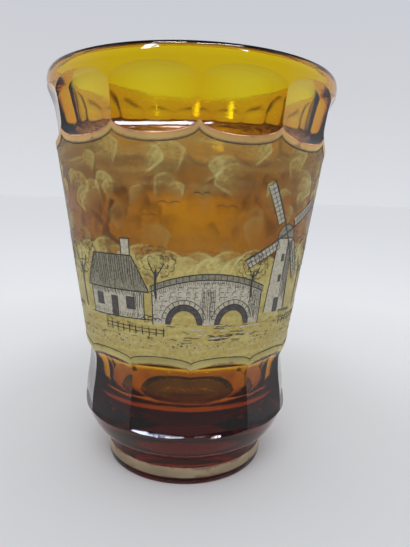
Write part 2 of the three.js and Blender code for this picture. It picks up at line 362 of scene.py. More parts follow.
def cavity_rows():
    crest = cone_radius(LIP_FOOT) - LIP_ROUND[0]
    inner = LIP_THICKNESS - LIP_ROUND[0]
    rows = quarter((crest, LIP_FOOT), LIP_ROUND, 0, 90, 10)[1:]
    rows += quarter((crest, HEIGHT - LIP_INNER_ROUND), (inner, LIP_INNER_ROUND), 90, 180, 10)[1:]
    top = np.array(rows[-1])
    shoulder = np.array((cone_radius(SHOULDER) - SHOULDER_WALL, SHOULDER))
    wall = np.array((BOWL_RADIUS, BOWL_TOP))
    lift = (shoulder - wall) / np.linalg.norm(shoulder - wall)
    rows += list(bezier([top, top + (shoulder - top) * 0.35, shoulder + lift * 7, shoulder], 12)[1:])
    rows += [shoulder + (wall - shoulder) * t for t in np.linspace(0, 1, 13)[1:]]
    bowl = (BOWL_RADIUS - FLOOR_RADIUS, BOWL_TOP - FLOOR_HEIGHT)
    rows += quarter((FLOOR_RADIUS, BOWL_TOP), bowl, 0, -90, 28)[1:]
    return rows + [(FLOOR_RADIUS * k, FLOOR_HEIGHT) for k in (0.75, 0.5, 0.25, 0.08)]


# %% [markdown]
# One skin for the glass
#
# Light is bent by every surface of clear glass, so the inside and the outside must be one closed skin with even
# faces. All the rows, from the middle of the underside over the lip to the middle of the floor, are joined into a
# single net.


# %% Make the glass mesh
def ring_points(radius, z):
    radius, z = np.broadcast_to(radius, ANGLES.shape), np.broadcast_to(z, ANGLES.shape)
    return np.stack([radius * np.sin(ANGLES), -radius * np.cos(ANGLES), z], axis=1)


def net_faces(rows, columns, wrap=True, close=False):
    """Quads over a net of points. wrap joins its last column to the first, and close its last row."""
    r = np.arange(rows if close else rows - 1)[:, None] * columns
    c = np.arange(columns if wrap else columns - 1)[None, :]
    n, up = (c + 1) % columns, (r + columns) % (rows * columns)
    return np.stack([r + c, r + n, up + n, up + c], axis=-1).reshape(-1, 4)


def fan(start, columns, centre, turn=1):
    """Triangles from a ring of points to the point in its middle."""
    return [(start + (c + 1) % columns, start + c, centre)[::turn] for c in range(columns)]


def new_object(name, points, faces, smooth=True):
    mesh = bpy.data.meshes.new(name)
    mesh.from_pydata(np.asarray(points).tolist(), [], [tuple(f) for f in faces])
    mesh.polygons.foreach_set("use_smooth", [smooth] * len(mesh.polygons))
    mesh.update()
    made = bpy.data.objects.new(name, mesh)
    bpy.context.scene.collection.objects.link(made)
    print(name, len(mesh.polygons), "faces")
    return made


def add_glass():
    rows = [ring_points(*row) for row in foot_rows() + outer_rows() + cavity_rows()]
    columns, low = len(ANGLES), len(rows) * len(ANGLES)
    faces = net_faces(len(rows), columns).tolist()
    faces += fan(0, columns, low) + fan(low - columns, columns, low + 1, -1)
    points = np.vstack(rows + [[(0, 0, HOLLOW_DEPTH)], [(0, 0, FLOOR_HEIGHT)]])
    return new_object("glass_body_fine", points * MM, faces)


glass = add_glass()
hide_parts("glass_body")
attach(glass, "root")

# %% [markdown]
# Nodes in few words
#
# A material is a tree of nodes, and most of its lines would say the same: add a node, set its sockets, link them. One
# helper does all three. Small helpers on top of it name the steps that every finish here uses.


# %% Node helpers
def join(tree, node, sockets):
    """Links each named socket to another node's output, or sets the socket's own value."""
    for label, value in dict(sockets).items():
        if isinstance(value, bpy.types.NodeSocket):
            tree.links.new(value, node.inputs[label])
        else:
            node.inputs[label].default_value = value


def add_node(tree, kind, sockets=(), output=0, **settings):
    """Adds a node with its settings and sockets, and gives back one of its outputs."""
    node = tree.nodes.new("ShaderNode" + kind)
    for name, value in settings.items():
        setattr(node, name, value)
    join(tree, node, sockets)
    return node.outputs[output]


def maths(tree, operation, a, b, **settings):
    return add_node(tree, "Math", {0: a, 1: b}, operation=operation, **settings)


def spread(tree, value, low, high):
    """Turns 0 to 1 into low to high."""
    return add_node(tree, "MapRange", {"Value": value, "To Min": low, "To Max": high})


def soft_step(tree, value, low, high):
    """Turns low to high into 0 to 1, with soft ends."""
    sockets = {"Value": value, "From Min": low, "From Max": high}
    return add_node(tree, "MapRange", sockets, interpolation_type="SMOOTHSTEP")


def mix_colours(tree, factor, a, b, blend="MIX"):
    sockets = {"Factor": factor, "A": a, "B": b}
    return add_node(tree, "Mix", sockets, "Result", data_type="RGBA", blend_type=blend)


def bump(tree, height, depth, strength):
    """A normal from a height, whose depth is in millimetres."""
    return add_node(tree, "Bump", {"Height": height, "Distance": depth * MM, "Strength": strength})


def read_value(tree, name):
    return add_node(tree, "Attribute", output="Fac", attribute_name=name)


def tone_ramp(tree, stops, value):
    node = tree.nodes.new("ShaderNodeValToRGB")
    elements = node.color_ramp.elements
    while len(elements) < len(stops):
        elements.new(1.0)
    for element, (position, colour) in zip(elements, stops):
        element.position = position
        element.color = (*colour, 1)
    join(tree, node, {"Fac": value})
    return node.outputs["Color"]


def material(name):
    made = bpy.data.materials.new(name)
    made.use_nodes = True
    return made, made.node_tree, made.node_tree.nodes["Principled BSDF"]


# %% [markdown]
# Shared finishes
#
# Three effects turn up on more than one material: uneven colour, the slow ripple that hand polishing leaves, and
# gold or enamel rubbed thin. Each is a node group that puts out only values, so every material can place it with its
# own scale, and the shader itself stays in the material.


# %% Group helpers
def new_group(name, inputs, outputs):
    """An empty node group; inputs are names with defaults, outputs are names of values."""
    group = bpy.data.node_groups.new(name, "ShaderNodeTree")
    for label, default in inputs.items():
        socket = group.interface.new_socket(label, in_out="INPUT", socket_type="NodeSocketFloat")
        socket.default_value = default
    for label in outputs:
        group.interface.new_socket(label, in_out="OUTPUT", socket_type="NodeSocketFloat")
    return group, group.nodes.new("NodeGroupInput").outputs, group.nodes.new("NodeGroupOutput")


def place_group(tree, group, **values):
    node = tree.nodes.new("ShaderNodeGroup")
    node.node_tree = group
    join(tree, node, values)
    return node.outputs


def noise(tree, stretch, scale, detail, roughness=0.5):
    """Noise on the object's own coordinates, drawn out round the vase by a large z stretch."""
    coords = add_node(tree, "TexCoord", output="Object")
    place = add_node(tree, "Mapping", {"Vector": coords, "Scale": stretch})
    return add_node(tree, "TexNoise", {"Vector": place, "Scale": scale, "Detail": detail, "Roughness": roughness})


# %% The three groups
def uneven_colour():
    """Broad clouds and fine grain, both around one half."""
    group, start, end = new_group("uneven_colour", {"Scale": 60.0}, ("Clouds", "Grain"))
    fine = maths(group, "MULTIPLY", start["Scale"], 9.0)
    clouds = noise(group, (1, 1, 1), start["Scale"], 3)
    join(group, end, {"Clouds": clouds, "Grain": noise(group, (1, 1, 1.4), fine, 4, 0.6)})
    return group


def polish_ripple():
    """A slow ripple and hair-fine wheel marks round the vase, as a height."""
    group, start, end = new_group("polish_ripple", {"Scale": 90.0, "Marks": 0.1}, ("Height", "Marks"))
    slow = noise(group, (1, 1, 1), start["Scale"], 1)
    marks = noise(group, (1, 1, 8), maths(group, "MULTIPLY", start["Scale"], 5.0), 4, 0.6)
    weak = maths(group, "MULTIPLY", marks, start["Marks"])
    join(group, end, {"Height": maths(group, "ADD", slow, weak), "Marks": soft_step(group, marks, 0.55, 0.75)})
    return group


def rubbed_layer():
    """How worn a fired layer is: near its edges, and in patches where hands rub it."""
    group, start, end = new_group("rubbed_layer", {"Edge": 0.0, "Scale": 160.0, "Amount": 0.3}, ("Worn", "Brushed"))
    fine = maths(group, "MULTIPLY", start["Scale"], 6.0)
    patches = noise(group, (1, 1, 1.6), start["Scale"], 5, 0.65)
    speckle = maths(group, "MULTIPLY", noise(group, (1, 1, 1), fine, 2), 0.2)
    edge = maths(group, "MULTIPLY", start["Edge"], 0.22)
    mixed = maths(group, "ADD", maths(group, "ADD", patches, edge), speckle)
    over = maths(group, "SUBTRACT", mixed, maths(group, "SUBTRACT", 0.98, start["Amount"]))
    brushed = noise(group, (0.5, 0.5, 6), fine, 3)
    join(group, end, {"Worn": soft_step(group, over, -0.04, 0.1), "Brushed": brushed})
    return group


UNEVEN, RIPPLE, RUBBED = uneven_colour(), polish_ripple(), rubbed_layer()
print("node groups:", [group.name for group in (UNEVEN, RIPPLE, RUBBED)])

# %% [markdown]
# The amber
#
# Coloured glass takes its colour from its thickness: the thin lip is yellow, two walls are orange and the solid
# foot is a dark red-brown. So the surface stays clear and the colour sits in the volume, as absorption per metre.
# Green and blue light are taken out quickly and red hardly at all.

# %% Glass material
AMBER_LOSS = (28, 94, 1500)  # red, green and blue, per metre of glass
GLASS_INDEX = 1.52
GLASS_TINTS = ((0.3, (0.88, 0.80, 0.70)), (0.7, (0.93, 0.87, 0.78)))
RIPPLE_SCALE = 110.0
RIPPLE_DEPTH = 0.12


def amber_glass():
    made, tree, shader = material("amber_glass")
    uneven = place_group(tree, UNEVEN, Scale=45.0)
    ripple = place_group(tree, RIPPLE, Scale=RIPPLE_SCALE, Marks=0.05)
    join(tree, shader, {
        "Transmission Weight": 1,
        "IOR": GLASS_INDEX,
        "Base Color": tone_ramp(tree, GLASS_TINTS, uneven["Clouds"]),
        "Roughness": spread(tree, ripple["Marks"], 0.0, 0.03),
        "Normal": bump(tree, ripple["Height"], RIPPLE_DEPTH, 1.0),
    })
    density = max(AMBER_LOSS)
    colour = [1 - loss / density for loss in AMBER_LOSS]
    volume = add_node(tree, "VolumeAbsorption", {"Density": density, "Color": (*colour, 1)})
    join(tree, tree.nodes["Material Output"], {"Volume": volume})
    return made


glass.data.materials.append(amber_glass())

# %% [markdown]
# Where the gilding lies
#
# Liquid gold is painted up to the cut edges with a fine brush and fired. On the real vase it is thinner than paper,
# so it could be a colour on the glass. As separate closed skins the borders keep crisp rims, can carry their own
# material and follow the scallops exactly, because their edges come from the same functions as the cuts. Each skin
# is slightly crowned and remembers how far up and how near to an edge every point lies.

# %% Fired layers
LAYER_GAP = 0.06
LAYER_THICKNESS = 0.2
LAYER_CROWN = 0.5
SEAM = 0.12
UPPER_BORDER_WIDTH = 2.5
LOWER_BORDER_WIDTH = 2.75
FOOT_BAND = (2.7, 7.0)
LAYER_ANGLES = np.linspace(0, 2 * math.pi, 721)[:-1]


def upper_border(angle):
    """Lower and upper edge of the rose-gold border."""
    top = flute_edge(angle) - SEAM
    return top - UPPER_BORDER_WIDTH, top


def lower_border(angle):
    """Lower and upper edge of the pale-gold border."""
    foot = facet_edge(angle) + SEAM
    return foot, foot + LOWER_BORDER_WIDTH


def foot_band(angle):
    return [height + 0 * angle for height in FOOT_BAND]


def on_cone(angle, z, lift, radius_at=cone_radius):
    radius = radius_at(z) + lift
    return np.stack([radius * np.sin(angle), -radius * np.cos(angle), z + 0 * angle], axis=-1)


def put_values(mesh, name, values):
    attribute = mesh.attributes.new(name, "FLOAT", "POINT")
    attribute.data.foreach_set("value", np.asarray(values, np.float32).ravel())


def closed_skin(
    name, edges, thickness=LAYER_THICKNESS, gap=LAYER_GAP, rows=8, crown=LAYER_CROWN, radius_at=cone_radius
):
    """A thin closed ring on the glass, rounded at its long edges. Keeps its rise and nearness to an edge."""
    low, high = edges
    shares = np.linspace(0, 1, rows + 1)
    section = [(0, 0), *((share, 1 - crown * (2 * share - 1) ** 4) for share in shares), (1, 0)]
    loops = []
    for share, side in section:
        inset = thickness * 0.4 if side else 0
        z = low + inset + (high - low - 2 * inset) * share
        loops.append(on_cone(LAYER_ANGLES, z, gap + thickness * side, radius_at))
    skin = new_object(name, np.vstack(loops) * MM, net_faces(len(loops), len(LAYER_ANGLES), close=True))
    rise = np.repeat([float(share) for share, _ in section], len(LAYER_ANGLES))
    put_values(skin.data, "rise", rise)
    put_values(skin.data, "edge", np.abs(2 * rise - 1) ** 3)
    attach(skin, "root")
    return skin


upper_gilt = closed_skin("upper_gilding", upper_border(LAYER_ANGLES))
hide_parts("upper_gilt_border")
lower_gilt = closed_skin("lower_gilding", lower_border(LAYER_ANGLES))
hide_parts("lower_gilt_border")
foot_gilt = closed_skin("foot_gilding", foot_band(LAYER_ANGLES), radius_at=lambda z: FOOT_RADIUS + 0 * z)
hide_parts("foot_gilt_band")

# %% [markdown]
# Worn gold
#
# Fired gold is brushed along a border, and is rubbed dull and dark where hands and dusters reach it. A plain
# metal would look new. So a ramp gives the tone from the low edge to the high one, and on the rose border its top
# end is a painted highlight along the edge; clouds vary it, and the shared wear mixes in the darker ground and
# roughens it.

# %% Gold materials
GOLD_CLOUDS = ((0.3, (0.78, 0.76, 0.72)), (0.7, (1.1, 1.1, 1.08)))
# the rose tones end in a painted highlight along the top edge, where the rounded edge would catch the light
ROSE_STOPS_WITH_HIGHLIGHT = (
    (0.0, (0.44, 0.30, 0.09)),
    (0.3, (0.60, 0.42, 0.14)),
    (0.65, (0.66, 0.38, 0.14)),
    (0.85, (0.64, 0.29, 0.13)),
    (1.0, (0.98, 0.62, 0.36)),
)
PALE_STOPS = ((0.0, (0.66, 0.54, 0.23)), (0.5, (0.52, 0.45, 0.17)), (1.0, (0.44, 0.38, 0.14)))
FOOT_STOPS = ((0.0, (0.42, 0.32, 0.22)), (0.5, (0.40, 0.33, 0.22)), (1.0, (0.50, 0.38, 0.26)))


def gold(name, stops, worn_colour, amount, roughness, metallic):
    """Fired gold: tone and any painted highlight go from the low edge to the high one; wear dulls and darkens it."""
    made, tree, shader = material(name)
    uneven = place_group(tree, UNEVEN, Scale=60.0)
    rubbed = place_group(tree, RUBBED, Scale=170.0, Amount=amount, Edge=read_value(tree, "edge"))
    clouds = tone_ramp(tree, GOLD_CLOUDS, uneven["Clouds"])
    tone = mix_colours(tree, 1.0, tone_ramp(tree, stops, read_value(tree, "rise")), clouds, "MULTIPLY")
    join(tree, shader, {
        "Metallic": metallic,
        "Base Color": mix_colours(tree, rubbed["Worn"], tone, (*worn_colour, 1)),
        "Roughness": spread(tree, rubbed["Worn"], roughness, roughness + 0.25),
        "Normal": bump(tree, rubbed["Brushed"], 0.03, 0.35),
    })
    return made


# the rose border's last stop is a painted highlight
upper_gilt.data.materials.append(gold("rose_gilding", ROSE_STOPS_WITH_HIGHLIGHT, (0.34, 0.19, 0.11), 0.24, 0.4, 0.3))
lower_gilt.data.materials.append(gold("pale_gilding", PALE_STOPS, (0.30, 0.24, 0.10), 0.26, 0.42, 0.45))
foot_gilt.data.materials.append(gold("foot_gilding", FOOT_STOPS, (0.30, 0.18, 0.12), 0.27, 0.38, 0.45))

# %% [markdown]
# Contour lines
#
# A thin dark line edges each border where the print was cut to fit. It is drawn as its own raised ring, since a
# line painted into the gold would blur with the gold's own wear.

# %% Contour lines of the print
CONTOUR_LIFT = 0.18
CONTOUR_THICKNESS = 0.03
UPPER_CONTOUR = (-0.32, 0.28)  # step from the border's edge, width
LOWER_CONTOUR = (0.06, 0.26)


def contour(name, border_edge, step, width):
    low = border_edge + step
    line = closed_skin(name, (low, low + width), CONTOUR_THICKNESS, CONTOUR_LIFT, rows=2, crown=0)
    return line


upper_contour = contour("upper_contour", upper_border(LAYER_ANGLES)[0], *UPPER_CONTOUR)
lower_contour = contour("lower_contour", lower_border(LAYER_ANGLES)[1], *LOWER_CONTOUR)

# %% [markdown]
# The painted sky and meadow
#
# The broad picture is brushed on: over the amber stand fan-shaped dabs of khaki enamel, close together at the top
# and the sides and open in the middle, and under them lies an opaque khaki meadow. It could be one noise
# texture, but a brush leaves single strokes with a round end and a pointed foot. So each dab is painted by a small
# formula onto a fine net, as three values per point: how much enamel, how light, and how thick.

# %% Paint tools
ROUND = 46.0  # mm along the picture for one radian, so that a drawing can be written in millimetres
FRONT_WINDOW = (-2.0, 101.0)
WINDOW_REACH = (23, 8.5)
rng = np.random.default_rng(7)


def smooth(value, low, high):
    t = np.clip((value - low) / (high - low), 0, 1)
    return t * t * (3 - 2 * t)


def bell(distance, reach):
    return np.exp(-((distance / reach) ** 2))


def wrapped(u):
    """Distance along the picture, the short way round."""
    span = 2 * math.pi * ROUND
    return np.mod(u + span / 2, span) - span / 2


def anywhere(low, high):
    """A random place on the band, between two heights."""
    return rng.uniform(-math.pi, math.pi) * ROUND, rng.uniform(low, high)


def ground_line(u):
    a = u / ROUND
    return 71 + 6 * np.cos(a) + 2.2 * np.sin(3 * a + 0.7) + 1.3 * np.sin(7 * a + 2.0)


class Paint:
    """Enamel on a net of points: cover, tone and relief, each from 0 to 1."""

    def __init__(self, u, v):
        self.u, self.v = u, v
        self.cover, self.tone, self.relief = np.zeros_like(u), np.full_like(u, 0.25), np.zeros_like(u)

    def lay(self, amount, tone, relief=0.0):
        self.cover += amount * (1 - self.cover)
        self.tone += (tone - self.tone) * amount
        self.relief += (relief - self.relief) * amount

    def dab(self, u, v, reach, spread, lean, tone, strength):
        """One stroke of a flat brush that opens upwards from its foot at u, v."""
        du, dv = wrapped(self.u - u), self.v - v
        angle = np.mod(np.arctan2(du, dv) - lean + math.pi, 2 * math.pi) - math.pi
        across = np.abs(angle) / spread
        far = np.hypot(du, dv) / reach * (1 + 0.26 * np.minimum(across, 1.5) ** 2)
        body = smooth(far, 0.04, 0.35) * (1 - smooth(far, 0.88, 1.02)) * (1 - smooth(across, 0.8, 1.05))
        hairs = 0.5 + 0.5 * np.sin(angle * 15 + 3 * np.sin(angle * 5 + reach) + 2.5 * far)
        kind = (7.3 * u + 3.1 * v) % 3
        sign = -1 if kind < 1.5 else 1
        turned = 0.3 + 0.7 * smooth(angle * sign / spread, -0.7, 0.5)
        fill = body * strength * turned * (0.4 + 0.36 * smooth(far, 0.3, 0.95) + 0.24 * hairs * far)
        self.lay(fill, tone + 0.2 * (hairs - 0.5) + 0.14 * (far - 0.6), 0.3)
        edge = bell((angle - sign * spread * 0.9) * far * reach, 0.5)
        edge = edge * smooth(far, 0.08, 0.5) * (1 - smooth(far, 0.85, 1.0))
        top = bell((far - 0.95) * reach, 0.5) * (1 - smooth(across, 0.85, 1.05))
        inner = 0
        for ring in (0.78, 0.6) if kind % 1 < 0.6 else (0.7,):
            inner = inner + bell((far - ring) * reach, 0.36) * (1 - smooth(across, 0.4, 0.9)) * 0.5
        self.lay(np.clip(0.8 * edge + (0.95 * top + inner) * turned, 0, 0.93) * strength, min(tone + 0.26, 1), 1.0)


# %% Paint the sky
DABS_ROUND = 32
DAB_ROWS = (  # height, share left out, strength
    (112, 0.03, 1),
    (106, 0.1, 1),
    (100, 0.2, 0.95),
    (94, 0.3, 0.85),
    (88, 0.4, 0.7),
)


def open_sky(u, v):
    """1 in the two clear windows of the sky, at the front and at the back."""
    centres = FRONT_WINDOW[0], FRONT_WINDOW[0] + math.pi * ROUND
    up = ((v - FRONT_WINDOW[1]) / WINDOW_REACH[1]) ** 2
    window = sum(np.exp(-((wrapped(u - centre) / WINDOW_REACH[0]) ** 2) - up) for centre in centres)
    return np.clip(window * 1.25, 0, 1)


def streaks(paint, count, heights, tones, amount, length, width):
    """Long soft strokes of a nearly dry brush."""
    for _ in range(count):
        u, v = anywhere(*heights)
        reach, thick, slope = rng.uniform(*length), rng.uniform(*width), rng.normal(0, 0.12)
        du = wrapped(paint.u - u)
        spot = np.exp(-((du / reach) ** 4) - ((paint.v - v - slope * du - 0.01 * du * du) / thick) ** 2)
        paint.lay(amount * (1 - 0.97 * open_sky(paint.u, paint.v)) * spot, rng.choice(tones), 0.5)


def paint_sky(paint):
    window = open_sky(paint.u, paint.v)
    haze = 0.05 + (0.25 + 0.26 * smooth(paint.v, 108, 119)) * (1 - window)
    paint.lay(haze, 0.3 + 0.3 * smooth(paint.v, 104, 117))
    streaks(paint, 240, (108, 125), (0.2, 0.5, 0.75), 0.34, (4, 11), (0.4, 1.2))
    streaks(paint, 140, (84, 112), (0.2, 0.3, 0.5), 0.12, (3, 8), (0.7, 2.2))
    for row, (height, left_out, fade) in enumerate(DAB_ROWS):
        for i in range(DABS_ROUND):
            u = wrapped((i + 0.5 * (row % 2)) * 2 * math.pi * ROUND / DABS_ROUND + rng.normal(0, 2.4))
            v = height + rng.normal(0, 1.6)
            reach, spread, lean = rng.uniform(6.5, 12.5), rng.uniform(0.38, 0.75), rng.normal(0, 0.45)
            tone, strength = rng.uniform(0.58, 0.78), rng.uniform(0.65, 1.0)
            if rng.random() < left_out:
                continue
            strength *= (1 - 0.9 * open_sky(u, v + 6)) * fade
            if strength > 0.12:
                paint.dab(u, v, reach, spread, lean, tone, strength)


# %% Paint the meadow and the bushes
BUSHES = [  # place along the band, height of the foot, size
    (-50, 70, 17), (-40, 74, 14), (-31, 78, 12), (-17, 74, 14), (-9, 76, 11), (1, 77, 10), (11, 75, 12), (20, 74, 13),
    (28, 72, 12), (42, 73, 15), (51, 72, 17), (60, 72, 12), (70, 73, 13), (84, 72, 10), (101, 68, 6), (118, 68, 6),
    (133, 67, 6), (-62, 72, 12), (-72, 74, 13), (-88, 72, 10), (-104, 69, 7), (-122, 67, 6), (-137, 67, 6),
]


def paint_meadow(paint):
    for u, v, reach in BUSHES:
        for lean in (-0.9, 0.9, -0.45, 0.5, 0.0):
            size = (reach + 3) * (1.25 - 0.25 * abs(lean))
            paint.dab(u + 4.5 * lean, v - 3, size, 0.55, lean * 0.55, 0.68, 0.95)
    edge = ground_line(paint.u) + 3
    grass = 0.5 + 0.5 * np.sin(paint.u * 1.9 + 3 * np.sin(paint.u * 0.37)) * np.sin(paint.v * 1.3 + paint.u * 0.2)
    paint.lay(0.95 * (1 - smooth(paint.v, edge - 1.5, edge + 1.5)), 0.74 + 0.14 * grass, 0.4)
    for _ in range(420):
        u, v = anywhere(53, 68)
        length, width = rng.uniform(2, 7), rng.uniform(0.3, 0.8)
        du = wrapped(paint.u - u)
        spot = np.exp(-((du / length) ** 2) - ((paint.v - v - 0.04 * du) / width) ** 2)
        paint.lay(0.5 * spot, rng.choice((1.0, 0.5, 0.9)), 0.7)


# %% [markdown]
# From strokes to a skin
#
# The enamel follows the cone between the two borders. Its front is a fine net that holds the painting; its back,
# which lies against the glass, only needs a coarse one. The three painted values go onto the points. Light crosses
# the front and the back, so each face gets the share of the cover that makes the two together as opaque as painted.

# %% Make the painted skin
WASH_COLUMNS = 720
WASH_ROWS = 150
WASH_BACK_ROWS = 30
WASH_TOP = 0.1


def wash_net(rows):
    angle = np.linspace(-math.pi, math.pi, WASH_COLUMNS + 1)[:-1]
    low, high = lower_border(angle)[1] + SEAM, upper_border(angle)[0] - SEAM
    share = np.linspace(0, 1, rows + 1)[:, None]
    return np.broadcast_to(angle, (rows + 1, WASH_COLUMNS)), low + (high - low) * share


def add_wash():
    (angle, z), (back_angle, back_z) = wash_net(WASH_ROWS), wash_net(WASH_BACK_ROWS)
    paint = Paint(angle * ROUND, z)
    paint_sky(paint)
    paint_meadow(paint)
    points = [on_cone(angle, z, WASH_TOP).reshape(-1, 3), on_cone(back_angle, back_z, LAYER_GAP).reshape(-1, 3)]
    front = net_faces(WASH_ROWS + 1, WASH_COLUMNS)
    back = net_faces(WASH_BACK_ROWS + 1, WASH_COLUMNS)[:, ::-1] + angle.size
    here = np.arange(WASH_COLUMNS)
    after = (here + 1) % WASH_COLUMNS
    top, back_top = WASH_ROWS * WASH_COLUMNS, angle.size + WASH_BACK_ROWS * WASH_COLUMNS
    low_rim = np.stack([after, angle.size + after, angle.size + here, here], axis=1)
    high_rim = np.stack([top + here, top + after, back_top + after, back_top + here], axis=1)
    wash = new_object("picture_wash", np.vstack(points) * MM, np.vstack([front, back, low_rim, high_rim]))
    face_cover = 1 - np.sqrt(1 - np.clip(paint.cover, 0, 0.999))
    share = np.linspace(0, WASH_ROWS, WASH_BACK_ROWS + 1).astype(int)
    for name, values in (("cover", face_cover), ("tone", paint.tone), ("relief", paint.relief)):
        put_values(wash.data, name, np.concatenate([values.ravel(), values[share].ravel()]))
    materials = np.zeros(len(wash.data.polygons), np.int32)
    materials[len(front) : len(front) + len(back)] = 1
    wash.data.polygons.foreach_set("material_index", materials)
    return wash


wash = add_wash()
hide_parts("picture_band")
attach(wash, "root")

# %% [markdown]
# Enamel and ink
#
# Fired enamel is finely ground coloured glass: half opaque, satin and a little grainy, and thicker at the ends of
# each brush stroke. One ramp turns the painted tone into colour, the grain thins and dulls it, and the stroke's
# relief becomes bump. The back of the layer is a darker orange-brown, a painted shade for the side that is seen
# from inside, through the glass.

# %% Enamel materials
ENAMEL_TONES = (
    (0.0, (0.14, 0.055, 0.02)),
    (0.25, (0.27, 0.125, 0.035)),
    (0.5, (0.40, 0.26, 0.06)),
    (0.75, (0.47, 0.38, 0.11)),
    (1.0, (0.56, 0.48, 0.19)),
)
# the back's tones: the enamel darkened, a painted shade for the side seen from inside
SHADED_BACK_TONES = ((0.0, (0.17, 0.065, 0.02)), (0.5, (0.23, 0.1, 0.035)), (1.0, (0.3, 0.15, 0.06)))


def enamel(name, tones):
    made, tree, shader = material(name)
    uneven = place_group(tree, UNEVEN, Scale=90.0)
    tone = maths(tree, "ADD", read_value(tree, "tone"), spread(tree, uneven["Grain"], -0.16, 0.16))
    thin = spread(tree, uneven["Grain"], 0.75, 1.2)
    join(tree, shader, {
        "Base Color": tone_ramp(tree, tones, tone),
        "Alpha": maths(tree, "MULTIPLY", read_value(tree, "cover"), thin, use_clamp=True),
        "Roughness": spread(tree, uneven["Clouds"], 0.3, 0.55),
        "Normal": bump(tree, read_value(tree, "relief"), 0.1, 0.6),
    })
    return made


wash.data.materials.append(enamel("picture_enamel", ENAMEL_TONES))
# the back faces get the same enamel with painted shade
wash.data.materials.append(enamel("picture_enamel_shaded_back", SHADED_BACK_TONES))

# %% [markdown]
# The printed landscape
#
# Over the meadow lies a drawing in dark ink with pale and grey enamel fillings: a stone bridge over a
# brook, a thatched cottage, a windmill, trees and fences, which go on round the back. It could be a flat texture, but
# the lines of such a print stand a little proud and stay sharp from close by. So every pen line is a thin closed
# ribbon on the glass and every filling a thin closed plate, drawn in millimetres along and up the band.

# %% Pens and plates
lines, pale_fills, grey_fills, dark_fills = [], [], [], []


def pen(points, width):
    lines.append((np.array(points, float), width))


def level(value):
    return lambda u: value


def fill(where, left, right, low, high, step=0.8):
    """A filling between two edges, given as functions of the distance along the band."""
    u = np.linspace(left, right, max(2, int(math.ceil((right - left) / step)) + 1))
    bottom = np.array([low(x) for x in u])
    top = np.maximum(np.array([high(x) for x in u]), bottom + 0.03)
    where.append((u, bottom, top))


def box(where, left, right, low, high):
    fill(where, left, right, level(low), level(high))


def fill_shape(where, corners, step=0.4):
    """A filling inside a convex outline."""
    corners = np.array(corners, float)
    ends = np.roll(corners, -1, axis=0)

    def heights(x):
        found = []
        for (u0, v0), (u1, v1) in zip(corners, ends):
            if min(u0, u1) - 1e-9 <= x <= max(u0, u1) + 1e-9:
                share = (x - u0) / (u1 - u0) if abs(u1 - u0) > 1e-9 else 0.5
                found.append(v0 + (v1 - v0) * min(max(share, 0), 1))
        return found

    left, right = corners[:, 0].min(), corners[:, 0].max()
    fill(where, left, right, lambda x: min(heights(x)), lambda x: max(heights(x)), step)


def enlarged(draw, size, u, v, *values):
    """Draws a motif and then spreads it from its foot point."""
    drawn = [(where, len(where)) for where in (lines, pale_fills, grey_fills, dark_fills)]
    draw(u, v, *values)
    for where, start in drawn:
        for i in range(start, len(where)):
            if where is lines:
                points, width = where[i]
                where[i] = ((u, v) + (points - (u, v)) * size, width * math.sqrt(size))
            else:
                across, bottom, top = where[i]
                where[i] = (u + (across - u) * size, v + (bottom - v) * size, v + (top - v) * size)


def hatch(left, right, low, high, spacing, lean, width):
    for u in np.arange(left + spacing / 2, right, spacing):
        bottom, top = low(u), high(u)
        if top - bottom > 0.5:
            jitter = rng.normal(0, 0.08, 4)
            share = rng.uniform(0.55, 1.0)
            middle = (u + lean / 2 + jitter[1], (bottom + top) / 2)
            pen([(u + lean * share + jitter[0], top), middle, (u + jitter[2], top - (top - bottom) * share)], width)


def arc_points(u, v, radius_u, radius_v, start, end, steps=10):
    t = np.radians(np.linspace(start, end, steps + 1))
    return np.stack([u + radius_u * np.cos(t), v + radius_v * np.sin(t)], axis=1)


# %% Trees, fences and birds
def oak(u, v, height, crown):
    """A round tree: a forked trunk, a scalloped outline and tufts of fine ticks, closer on its right."""
    top = v + height
    pen([(u - 0.1, v), (u - 0.3, v + height * 0.3), (u + 0.1, v + height * 0.6)], 0.8)
    pen([(u - 0.2, v + height * 0.4), (u + crown * 0.5, v + height * 0.7)], 0.35)
    pen([(u - 0.2, v + height * 0.45), (u - crown * 0.45, v + height * 0.75)], 0.3)
    for ring, turn in ((1.0, 0.0), (0.66, 0.3), (0.33, 0.8)):
        count = max(4, int(11 * ring))
        for i in range(count):
            a = turn + 2 * math.pi * (i + rng.uniform(-0.2, 0.2)) / count
            cu, cv = u + crown * ring * math.cos(a), top - crown * 0.8 + crown * 0.8 * ring * math.sin(a)
            size = crown * rng.uniform(0.2, 0.3)
            facing = math.degrees(a)
            pen(arc_points(cu, cv, size, size * 0.8, facing - 80, facing + 80, 6), 0.15)
            for _ in range(9 if math.cos(a) > -0.2 else 3):
                tick = rng.uniform(-0.9, 0.9, 2) * size
                pen([(cu + tick[0], cv + tick[1]), (cu + tick[0] + 0.35, cv + tick[1] - 0.55)], 0.15)


def bush(u, v, width):
    for i in range(int(width)):
        x = u - width / 2 + i * 1.1
        size = rng.uniform(0.8, 1.3)
        pen(arc_points(x, v + rng.uniform(0, 0.8), size, size, 20, 160, 6), 0.22)
        pen([(x + 0.3, v), (x + 0.5, v + size)], 0.16)


def fence(left, v, right, rise):
    slope = rise / (right - left)
    for rail in (1.1, 2.2):
        pen([(left, v + rail), (right, v + rail + rise)], 0.22)
    for u in np.arange(left, right + 0.1, 2.4):
        foot = v + slope * (u - left)
        pen([(u, foot), (u + rng.normal(0, 0.1), foot + 2.9)], 0.36)


def bird(u, v, size):
    for side, start, end in ((-1, 150, 15), (1, 165, 30)):
        pen(arc_points(u + side * size / 2, v - size * 0.25, size / 2, size * 0.35, start, end, 6), 0.2)


